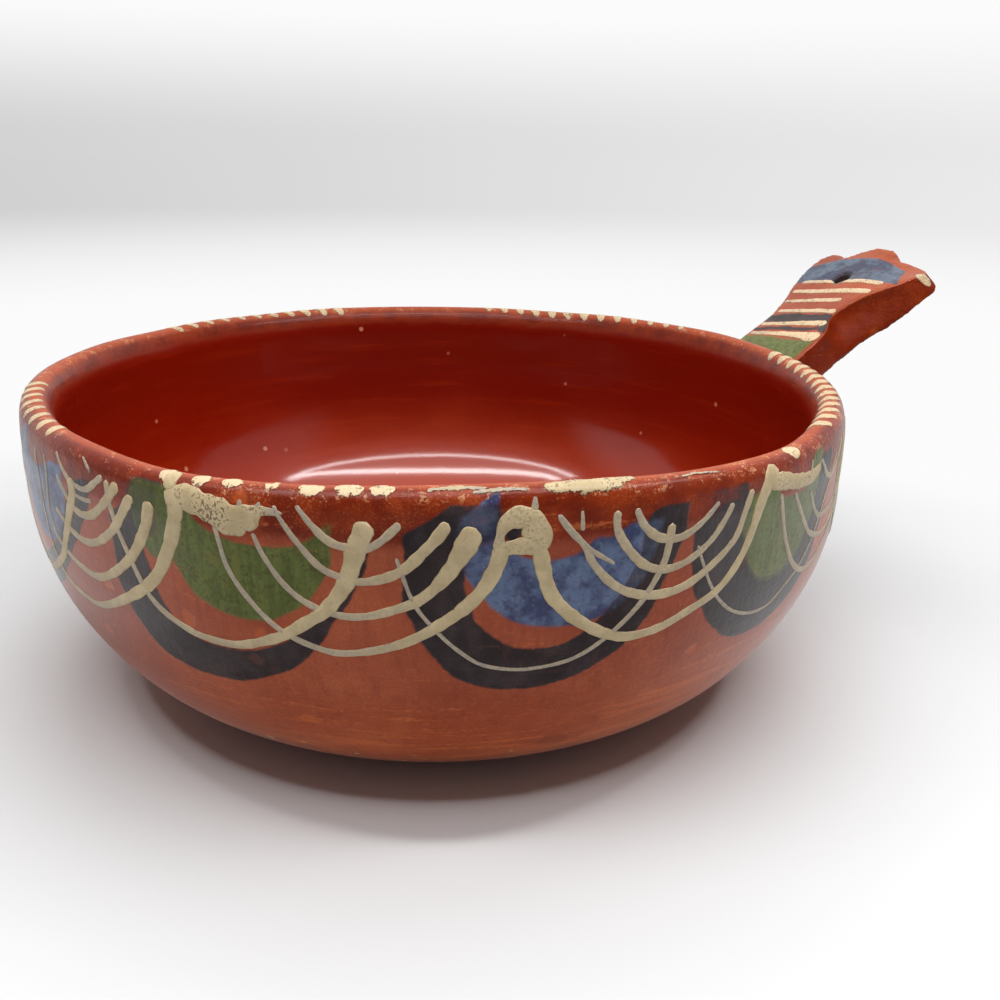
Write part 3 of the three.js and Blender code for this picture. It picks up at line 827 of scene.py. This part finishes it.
def handle_stripes(handle):
    """Stripes of slip across the handle's upper face and a touch on the near lobe."""
    tree = BVHTree.FromPolygons([v.co.copy() for v in handle.data.vertices],
                                [tuple(p.vertices) for p in handle.data.polygons])
    down = Vector(SLAB_TURN @ np.array([0.0, 0.0, -1.0]))

    def on_top(along, across, proud):
        starts = np.column_stack([along, -across, np.full(len(along), DROP)])
        places = []
        for start, rise in zip(from_slab(starts) * MM, proud):
            hit, normal, _, _ = tree.ray_cast(Vector(start), down)
            if hit is None:
                hit, normal, _, _ = tree.find_nearest(Vector(start) + down * DROP * MM)
            places.append(hit + normal * float(rise) * MM)
        return np.array(places)

    master = trail_master(36)
    strokes = []
    # Stripes on the handle's upper face are lighter by full painted light, the lobe touch by a little
    for ends, halves in CREAM_STRIPES:
        strokes.append(lay_trail(master, on_top, through(ends), halves, 1.1, 1.0, 1.0))
    strokes.append(lay_trail(master, on_top, through(LOBE_TOUCH), (1.2, 2.0, 1.8), 1.1, 1.0, 0.3))
    return join_trails("handle_stripes", strokes, master)


# Finishes

# Level of the pale surroundings as seen and as they light the dish, and the heading away from the viewer
BACKDROP = 0.97
AMBIENT = 0.14
AWAY = (0.42, 0.91)
WHITE = (1.0, 1.0, 1.0, 1.0)

# Colours of the clay: plain, streaked by the burnisher, grainy, low on the wall, on the crest, and worn; the
# rubbed rim's colour is also a painted highlight
CLAY = (srgb(152, 66, 38), srgb(172, 82, 48))
STREAK = srgb(122, 48, 32)
GRAIN = srgb(190, 96, 62)
LOW_WALL = srgb(194, 96, 54)
CREST_CLAY = srgb(184, 86, 48)
LIP = (srgb(106, 23, 1), srgb(142, 46, 5))
FLANK = srgb(112, 30, 3)
SCUFF = srgb(204, 106, 52)
FLECK = srgb(204, 118, 72)
STAIN = srgb(116, 42, 16)
TOE = srgb(148, 60, 14)
CHIP = srgb(224, 186, 124)
RUB_AND_HIGHLIGHT = srgb(214, 158, 116)
PIT = srgb(202, 98, 48)
# Colours of the glaze: from the rim down to the floor, at the sides as painted light, along the rings and in
# pin holes
GLAZE = (srgb(118, 15, 1), srgb(176, 54, 4))
GLAZE_SIDES_PAINTED_LIGHT = srgb(152, 28, 1)
GLAZE_RINGS = srgb(170, 52, 6)
PIN = srgb(214, 150, 116)
# Colours of the washes; the handle's greyer blue is partly a painted sheen
DARK = (srgb(39, 37, 41), srgb(54, 52, 56))
GREEN = (srgb(80, 95, 42), srgb(103, 118, 57))
GREEN_GRAIN = srgb(56, 66, 32)
GREEN_SPECK = srgb(132, 142, 88)
BOWL_BLUE = (srgb(50, 69, 107), srgb(94, 118, 152))
# The handle's blue is greyer than the bowl's, partly as a painted sheen
HANDLE_BLUE_AND_SHEEN = (srgb(50, 66, 90), srgb(88, 112, 130))
BLUE_GRAIN = srgb(44, 50, 72)
BLUE_SPECK = srgb(140, 154, 176)
# Colours of the cream slip: usual, lighter as painted light on strokes that face up, run thin and grey with
# a painted sheen, grainy, at its edges and where it is rubbed bare
CREAM = (srgb(190, 168, 128), srgb(209, 188, 147))
CREAM_PAINTED_LIGHT = srgb(228, 199, 160)
CREAM_THIN_AND_SHEEN = srgb(154, 146, 143)
CREAM_GRAIN = srgb(166, 142, 108)
CREAM_EDGE = srgb(160, 124, 92)
CREAM_BARE = srgb(96, 64, 46)
# Colours of the table, left and right of the dish, which differ as painted light and shade
TABLE = (srgb(230, 231, 232), srgb(224, 225, 226))


class Tone:
    """A number that changes over a surface; sums on it add Math nodes to its finish."""

    def __init__(self, finish, socket):
        self.finish = finish
        self.socket = socket

    def sum(self, operation, first, second):
        node = self.finish.node("ShaderNodeMath", {"operation": operation}, {0: first, 1: second})
        return Tone(self.finish, node.outputs[0])

    def __add__(self, other):
        return self.sum("ADD", self, other)

    def __radd__(self, other):
        return self.sum("ADD", other, self)

    def __sub__(self, other):
        return self.sum("SUBTRACT", self, other)

    def __rsub__(self, other):
        return self.sum("SUBTRACT", other, self)

    def __mul__(self, other):
        return self.sum("MULTIPLY", self, other)

    def __rmul__(self, other):
        return self.sum("MULTIPLY", other, self)

    def __truediv__(self, other):
        return self.sum("DIVIDE", self, other)

    def __rtruediv__(self, other):
        return self.sum("DIVIDE", other, self)

    def at_most(self, other):
        return self.sum("MINIMUM", self, other)

    def at_least(self, other):
        return self.sum("MAXIMUM", self, other)


class Finish:
    """The nodes of one material, or of the world."""

    def __init__(self, holder, space="Object"):
        self.holder = holder
        holder.use_nodes = True
        self.tree = holder.node_tree
        self.tree.nodes.clear()
        self.place = self.node("ShaderNodeTexCoord").outputs[space]

    def node(self, kind, settings=None, sockets=None):
        """Add a node, set its settings, then its sockets from values or links."""
        node = self.tree.nodes.new(kind)
        for name, value in (settings or {}).items():
            setattr(node, name, value)
        for key, value in (sockets or {}).items():
            if isinstance(value, Tone):
                value = value.socket
            if isinstance(value, bpy.types.NodeSocket):
                self.tree.links.new(value, node.inputs[key])
            else:
                node.inputs[key].default_value = value
        return node

    def stored(self, name):
        return Tone(self, self.node("ShaderNodeAttribute", {"attribute_name": name}).outputs["Fac"])

    def cloud(self, scale, detail=3.0, roughness=0.5, stretch=(1.0, 1.0, 1.0)):
        """Noise of about 0 to 1 in the dish's own space; scale is in waves per metre."""
        moved = self.node("ShaderNodeMapping", {}, {"Vector": self.place, "Scale": stretch})
        grain = self.node("ShaderNodeTexNoise", {}, {"Vector": moved.outputs[0], "Scale": scale,
                                                     "Detail": detail, "Roughness": roughness})
        return Tone(self, grain.outputs[0])

    def dots(self, scale, stretch=(1.0, 1.0, 1.0)):
        """Distance from scattered points and one random number for each of them."""
        moved = self.node("ShaderNodeMapping", {}, {"Vector": self.place, "Scale": stretch})
        cell = self.node("ShaderNodeTexVoronoi", {}, {"Vector": moved.outputs[0], "Scale": scale})
        split = self.node("ShaderNodeSeparateColor", {}, {0: cell.outputs["Color"]})
        return Tone(self, cell.outputs["Distance"]), Tone(self, split.outputs[0])

    def across_view(self):
        """How far a place or heading lies away from the viewer, to the right and up."""
        axes = self.node("ShaderNodeSeparateXYZ", {}, {0: self.place})
        x, y, z = (Tone(self, output) for output in axes.outputs)
        return AWAY[0] * x + AWAY[1] * y, AWAY[1] * x - AWAY[0] * y, z

    def step(self, value, low, high):
        """0 below low and 1 above high, eased; low may be the larger one."""
        node = self.node("ShaderNodeMapRange", {"interpolation_type": "SMOOTHSTEP"},
                         {0: value, 1: low, 2: high, 3: 0.0, 4: 1.0})
        return Tone(self, node.outputs[0])

    def mix(self, share, first, second):
        node = self.node("ShaderNodeMix", {"data_type": "RGBA"}, {0: share, 6: first, 7: second})
        return node.outputs[2]

    def bump(self, height, strength, distance):
        node = self.node("ShaderNodeBump", {}, {"Height": height, "Strength": strength,
                                                "Distance": distance})
        return node.outputs[0]

    def close(self, sockets):
        """Finish with one Principled shader."""
        shader = self.node("ShaderNodeBsdfPrincipled", {}, sockets)
        self.node("ShaderNodeOutputMaterial", {}, {"Surface": shader.outputs[0]})
        return self.holder


class Clay(Finish):
    """Red clay, burnished and brushed with dark, green and blue slips outside, and glazed inside."""

    def __init__(self, name):
        super().__init__(bpy.data.materials.new(name))
        self.past_rim = self.stored("past_rim")
        self.height = self.stored("paint_height")
        self.patch = self.cloud(38, 4.0, 0.55)
        self.blot = self.cloud(150, 3.0, 0.6)
        self.grain = self.cloud(900, 2.0, 0.6)
        self.speck = self.cloud(2200, 2.0, 0.6)
        self.turning = self.cloud(36, 4.0, 0.6, stretch=(1.0, 1.0, 14.0))
        self.brushing = self.cloud(520, 3.0, 0.6, stretch=(1.0, 1.0, 0.12))
        self.outdoors = 1.0 - self.step(self.past_rim, -2.0, 2.0)
        self.low = self.step(self.height, 46.0, 4.0) * self.outdoors
        self.glazed = self.step(self.past_rim + 3.0 * self.blot, 5.4, 9.4)
        self.rim_end = self.step(self.past_rim, 3.4, 1.4)
        self.crest = self.step(self.past_rim, -2.2, -0.4) * self.rim_end
        near_rim = self.height + 5.0 * self.patch + 2.0 * self.blot
        self.lip = self.step(near_rim, 70.5, 74.0) * (1.0 - self.glazed)
        self.flank = self.lip * self.step(self.past_rim, -20.0, -25.0)

    def bare(self):
        """The clay's own colour, up to the darker lip."""
        body = self.mix(self.step(self.patch, 0.3, 0.7), *CLAY)
        body = self.mix(self.step(self.brushing, 0.42, 0.75) * 0.35, body, STREAK)
        body = self.mix(self.step(self.grain, 0.5, 0.75) * 0.35, body, GRAIN)
        body = self.mix(self.low * 0.4, body, LOW_WALL)
        body = self.mix(self.crest * 0.6, body, CREST_CLAY)
        lip_tone = self.mix(self.step(self.blot, 0.35, 0.7), *LIP)
        return self.mix(self.lip * (0.9 - 0.6 * self.crest), body, lip_tone)

    def glaze(self, body):
        """Glaze inside, brighter towards the floor, and brighter at the sides left and right of the viewer
        as painted light.
        """
        deep = self.step(self.past_rim + 16.0 * (self.patch - 0.5), 27.0, 68.0)
        tone = self.mix(deep, *GLAZE)
        _, right, _ = self.across_view()
        # Painted light: the glaze is brighter on the inner walls left and right of the viewer.
        sides = self.step((-1.0 * right).at_least(0.7 * right), 0.02, 0.09)
        tone = self.mix(sides * 0.5, tone, GLAZE_SIDES_PAINTED_LIGHT)
        tone = self.mix(self.step(self.turning, 0.5, 0.8) * 0.3, tone, GLAZE_RINGS)
        return self.mix(self.glazed, body, tone)

    def wash(self, body, blues):
        """Washes with wandering edges; also where the dark one and any of them lies."""
        wander = 1.1 * (self.cloud(160, 2.0) - 0.5) + 0.6 * (self.grain - 0.5)
        gaps = self.step(self.brushing, 0.55, 0.8)
        dark = self.step(self.stored("dark_wash") + wander, 0.35, -0.35)
        tone = self.mix(self.step(self.blot, 0.35, 0.7), *DARK)
        body = self.mix(dark * (0.96 - 0.12 * gaps), body, tone)
        green = self.step(self.stored("green_wash") + wander, 0.5, -0.5)
        tone = self.mix(self.step(self.brushing, 0.3, 0.7), *GREEN)
        grainy = self.step(self.grain + 0.3 * (self.blot - 0.5), 0.5, 0.66)
        tone = self.mix(grainy * 0.5, tone, GREEN_GRAIN)
        tone = self.mix(self.step(self.speck, 0.58, 0.7) * 0.4, tone, GREEN_SPECK)
        body = self.mix(green * (0.95 - 0.3 * gaps - 0.5 * dark), body, tone)
        blue = self.step(self.stored("blue_wash") + wander, 0.5, -0.5)
        tone = self.mix(self.step(self.blot, 0.4, 0.62), *blues)
        tone = self.mix(self.step(self.grain, 0.5, 0.68) * 0.4, tone, BLUE_GRAIN)
        tone = self.mix(self.step(self.speck, 0.6, 0.72) * 0.35, tone, BLUE_SPECK)
        body = self.mix(blue * (0.94 - 0.6 * dark), body, tone)
        return body, dark, dark.at_least(green).at_least(blue)

    def scuff(self, body, painted):
        """Scuffs along the turning, flecks, stains low on the wall, and a darker band towards the foot."""
        scuffed = self.turning + 0.35 * (self.grain - 0.5) + 0.22 * self.low
        scuffed = self.step(scuffed, 0.63, 0.77) * self.outdoors
        body = self.mix(scuffed * (0.55 - 0.45 * painted), body, SCUFF)
        flecked = self.speck + 0.5 * (self.patch - 0.5) + 0.3 * (self.blot - 0.5)
        flecked = self.step(flecked, 0.56, 0.68) * self.outdoors * (0.35 + 0.65 * self.low)
        body = self.mix(flecked * (0.5 - 0.4 * painted), body, FLECK)
        stained = self.step(self.cloud(90, 3.0, 0.6) + 0.2 * (self.grain - 0.5), 0.58, 0.7) * self.low
        body = self.mix(stained * 0.5, body, STAIN)
        # Darker towards the foot
        toe = self.step(self.height + 10.0 * (self.patch - 0.5), 17.0, 8.0) * self.outdoors
        return self.mix(toe * 0.5, body, TOE)

    def chip(self, body, painted):
        """Chips at the foot, a rubbed rim that is also a painted highlight along the crest, pits and pin
        holes; also how deep they are.
        """
        near, pick = self.dots(210, stretch=(1.0, 1.0, 1.8))
        chipped = self.step(near + 0.5 * self.blot, 0.46, 0.38) * self.step(pick, 0.6, 0.64)
        chipped = chipped * self.step(self.height, 20.0, 11.0) * self.outdoors
        body = self.mix(chipped * 0.85, body, CHIP)
        # The rubbed rim is partly worn slip and partly a painted highlight along the crest
        rubbed = 0.6 * self.cloud(420, 3.0, 0.65) + 0.4 * self.speck + 0.2 * (self.blot - 0.5)
        rubbed = self.step(rubbed, 0.55, 0.62) * self.step(self.past_rim, -5.0, -3.6) * self.rim_end
        body = self.mix(rubbed * 0.6, body, RUB_AND_HIGHLIGHT)
        near, pick = self.dots(95)
        pitted = self.step(near + 0.5 * (self.blot - 0.5), 0.2, 0.1) * self.step(pick, 0.78, 0.8)
        pitted = pitted * self.outdoors
        body = self.mix(pitted * (0.5 - 0.4 * painted), body, PIT)
        near, pick = self.dots(130)
        pinned = self.step(near, 0.13, 0.07) * self.step(pick, 0.7, 0.72) * self.glazed
        body = self.mix(pinned * 0.75, body, PIN)
        return body, 0.8 * chipped + 0.9 * pitted + 0.5 * pinned


def painted_clay(name, gloss, blues):
    """The finish of the bowl or the handle, with its gloss and the two tones of its blue."""
    clay = Clay(name)
    body, dark, painted = clay.wash(clay.glaze(clay.bare()), blues)
    body, hollow = clay.chip(clay.scuff(body, painted), painted)
    body = clay.mix(clay.flank * (0.5 - 0.5 * dark), body, FLANK)
    rough = 0.4 + 0.2 * (clay.patch - 0.5) + 0.2 * (clay.grain - 0.5)
    rough = rough - 0.06 * clay.lip - 0.06 * clay.glazed + 0.2 * clay.crest + 0.12 * clay.flank
    wet = clay.glazed * (0.15 + 0.85 * clay.step(clay.past_rim, 34.0, 46.0))
    burnished = clay.outdoors * (1.0 - clay.lip) * (1.0 - clay.low)
    coat = wet.at_least(0.08 * (clay.lip - clay.flank)).at_least(0.35 * burnished)
    relief = 0.5 * clay.grain + 0.25 * clay.speck + 0.5 * clay.brushing * painted
    relief = relief + 0.9 * clay.turning * (1.0 - 0.5 * clay.glazed)
    relief = relief * (1.0 - 0.82 * clay.glazed) - hollow
    relief = relief + 0.22 * clay.cloud(480, 1.0) * clay.glazed
    return clay.close({"Base Color": body, "Roughness": rough, "Coat Weight": coat,
                       "Coat Roughness": 0.1, "Specular IOR Level": gloss,
                       "Normal": clay.bump(relief, 0.35, 0.0006)})


def cream_slip():
    """Cream slip, lighter as painted light on strokes that face up, thin and grey where the stroke ran dry
    with a painted sheen in the grey, and dirty where it is worn.
    """
    slip = Finish(bpy.data.materials.new("cream_slip"))
    worn = slip.stored("worn")
    edge = slip.stored("edge")
    blot = slip.cloud(210, 3.0, 0.6)
    grain = slip.cloud(1300, 2.0, 0.6)
    pits = slip.cloud(780, 3.0, 0.7)
    pepper = slip.cloud(1700, 2.0, 0.7)
    tone = slip.mix(slip.step(blot, 0.35, 0.7), *CREAM)
    # Painted light: lighter slip where strokes face up
    tone = slip.mix(slip.stored("painted_top_light"), tone, CREAM_PAINTED_LIGHT)
    thin = slip.stored("thin") * (0.4 + 0.45 * slip.step(grain, 0.4, 0.65))
    # Slip run thin turns grey, lightened as a painted sheen
    tone = slip.mix(thin, tone, CREAM_THIN_AND_SHEEN)
    tone = slip.mix(slip.step(grain, 0.56, 0.72) * 0.4, tone, CREAM_GRAIN)
    tone = slip.mix(slip.step(edge, 0.85, 1.0) * 0.25, tone, CREAM_EDGE)
    bare = slip.step(pepper + 0.6 * (blot - 0.5), 0.58, 0.66) * worn.at_most(1.0)
    tone = slip.mix(bare * 0.8, tone, CREAM_BARE)
    ragged = (worn - 1.0).at_least(0.0)
    flaked = slip.step(0.55 * edge + 1.1 * pits + 0.5 * ragged, 1.28, 1.22)
    rough = 0.6 + 0.2 * (grain - 0.5)
    relief = 0.6 * grain + 0.8 * blot - 0.9 * bare
    return slip.close({"Base Color": tone, "Roughness": rough, "Specular IOR Level": 0.25, "Alpha": flaked,
                       "Coat Weight": 0.35, "Coat Roughness": 0.3,
                       "Normal": slip.bump(relief, 0.3, 0.0004)})


def table_top():
    """Pale table that keeps the dish's shadow and fades into the backdrop, dim where the viewer stands, with
    a painted shadow near the dish in reflections.
    """
    top = Finish(bpy.data.materials.new("table_top"))
    rays = top.node("ShaderNodeLightPath")
    seen = Tone(top, rays.outputs["Is Camera Ray"])
    mirrored = Tone(top, rays.outputs["Is Glossy Ray"])
    away, right, _ = top.across_view()
    rightward = right.at_least(0.0)
    length = top.node("ShaderNodeVectorMath", {"operation": "LENGTH"}, {0: top.place})
    reach = Tone(top, length.outputs["Value"])
    # Painted light and shade: the table's tone differs left and right of the dish
    tone = top.mix(top.step(right + 0.2 * top.cloud(3, 2.0), -0.05, 0.25), *TABLE)
    far = top.step(reach + 0.8 * away + 0.35 * rightward, 0.18, 0.45).at_least(top.step(reach, 0.45, 0.75))
    level = BACKDROP - top.step(reach, 0.5, 1.7) * (0.25 - 0.2 * right / reach)
    viewer_side = top.step(away + 0.5 * right.at_least(0.0 - right), 0.0, -0.1)
    level = level * (1.0 - 0.85 * mirrored * viewer_side)
    # Painted shadow: in reflections the table close to the dish is dimmed
    level = level * (1.0 - 0.7 * mirrored * top.step(reach + 0.35 * rightward, 0.15, 0.1))
    near = top.node("ShaderNodeBsdfPrincipled", {}, {"Base Color": tone, "Roughness": 0.7})
    haze = top.node("ShaderNodeEmission", {}, {"Color": WHITE, "Strength": level})
    share = (far * seen).at_least(mirrored)
    blend = top.node("ShaderNodeMixShader", {}, {0: share, 1: near.outputs[0], 2: haze.outputs[0]})
    top.node("ShaderNodeOutputMaterial", {}, {"Surface": blend.outputs[0]})
    return top.holder


# Build

bowl = turn_bowl()
handle = press_handle()
trails = wall_trails()
dashes = rim_dashes()
stripes = handle_stripes(handle)

bowl_finish = painted_clay("painted_bowl", 0.22, BOWL_BLUE)
handle_finish = painted_clay("painted_handle", 0.08, HANDLE_BLUE_AND_SHEEN)
slip_finish = cream_slip()
for piece, finish in ((bowl, bowl_finish), (handle, handle_finish), (trails, slip_finish),
                      (dashes, slip_finish), (stripes, slip_finish)):
    piece.data.materials.clear()
    piece.data.materials.append(finish)
    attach(piece, "root")
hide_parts("bowl", "rim_coil")
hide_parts("handle", "luting_coil")

bpy.ops.object.select_all(action="DESELECT")
bpy.ops.mesh.primitive_plane_add(size=8.0, location=(0, 0, 0))
table = bpy.context.object
table.name = "table"
table.data.materials.append(table_top())


# Light

# Two lamps bent like bows hang level over the viewer's side; lengths in metres, headings in degrees
BOW_TURN = -21.2
BOW_HEIGHT = 0.42
BOW_PIECES = 9
BOW_WIDTH = 0.024
BOW_POWER = 1.15


def bow_lamp(name, middle, half_length, depth):
    """A bowed lamp as a row of short strips that shine down."""
    right = Vector((math.cos(math.radians(BOW_TURN)), math.sin(math.radians(BOW_TURN)), 0.0))
    back = Vector((-right.y, right.x, 0.0))
    turns = np.linspace(0.0, math.pi, BOW_PIECES + 1)
    ends = []
    for turn in turns:
        sideways = right * (middle[0] + half_length * math.cos(turn))
        ends.append(sideways + back * (middle[1] - depth * math.sin(turn)))
    lengths = [(last - first).length for first, last in zip(ends[:-1], ends[1:])]
    for number, (first, last) in enumerate(zip(ends[:-1], ends[1:])):
        place = (first + last) / 2.0 + Vector((0.0, 0.0, BOW_HEIGHT))
        run = last - first
        bpy.ops.object.light_add(type="AREA", location=place, rotation=(0, 0, math.atan2(run.y, run.x)))
        lamp = bpy.context.object
        lamp.name = "%s_%d" % (name, number)
        lamp.data.shape = "RECTANGLE"
        lamp.data.size = lengths[number]
        lamp.data.size_y = BOW_WIDTH
        lamp.data.energy = BOW_POWER * lengths[number] / sum(lengths)


bow_lamp("front_bow", (0.020, -0.040), 0.320, 0.242)
bow_lamp("over_bow", (0.045, -0.040), 0.290, 0.105)

bpy.ops.object.light_add(type="AREA", location=(0.3, 0.35, 0.95))
back_box = bpy.context.object
back_box.name = "back_box"
back_box.data.size = 0.9
back_box.data.energy = 6.5
back_box.visible_glossy = False


def pale_room():
    """Pale surroundings: soft light all round, white to look at, dim on the viewer's side to the glaze."""
    world = bpy.data.worlds.new("pale_room")
    bpy.context.scene.world = world
    room = Finish(world, "Generated")
    rays = room.node("ShaderNodeLightPath")
    camera_ray = Tone(room, rays.outputs["Is Camera Ray"])
    glossy_ray = Tone(room, rays.outputs["Is Glossy Ray"])
    away, right, up = room.across_view()
    sideways = 0.45 * room.step(right, 0.6, 0.8) + 0.75 * room.step(right, -0.7, -0.88)
    overhead = 0.9 * room.step(up, 0.64, 0.8) + sideways * room.step(up, 0.06, 0.22)
    mirrored = (0.95 * room.step(away, 0.0, 0.5)).at_least(overhead)
    seen = BACKDROP - room.step(up, 0.1, -0.02) * (0.25 - 0.2 * right)
    level = AMBIENT + camera_ray * (seen - AMBIENT) + glossy_ray * (mirrored - AMBIENT)
    shell = room.node("ShaderNodeBackground", {}, {"Color": WHITE, "Strength": level})
    room.node("ShaderNodeOutputWorld", {}, {"Surface": shell.outputs[0]})


pale_room()

# Camera

# Place in metres, turn in degrees, lens and sensor in mm
VIEW_PLACE = (-0.1198, -0.2569, 0.1411)
VIEW_TURN = (70.367, -0.951, -27.981)
VIEW_LENS = 38.12
VIEW_SENSOR = 36.0

bpy.ops.object.camera_add(location=VIEW_PLACE, rotation=tuple(math.radians(turn) for turn in VIEW_TURN))
camera = bpy.context.object
camera.name = "view_camera"
camera.data.sensor_width = VIEW_SENSOR
camera.data.lens = VIEW_LENS
camera.data.clip_start = 0.01
bpy.context.scene.camera = camera
bpy.context.scene.view_settings.view_transform = "Standard"
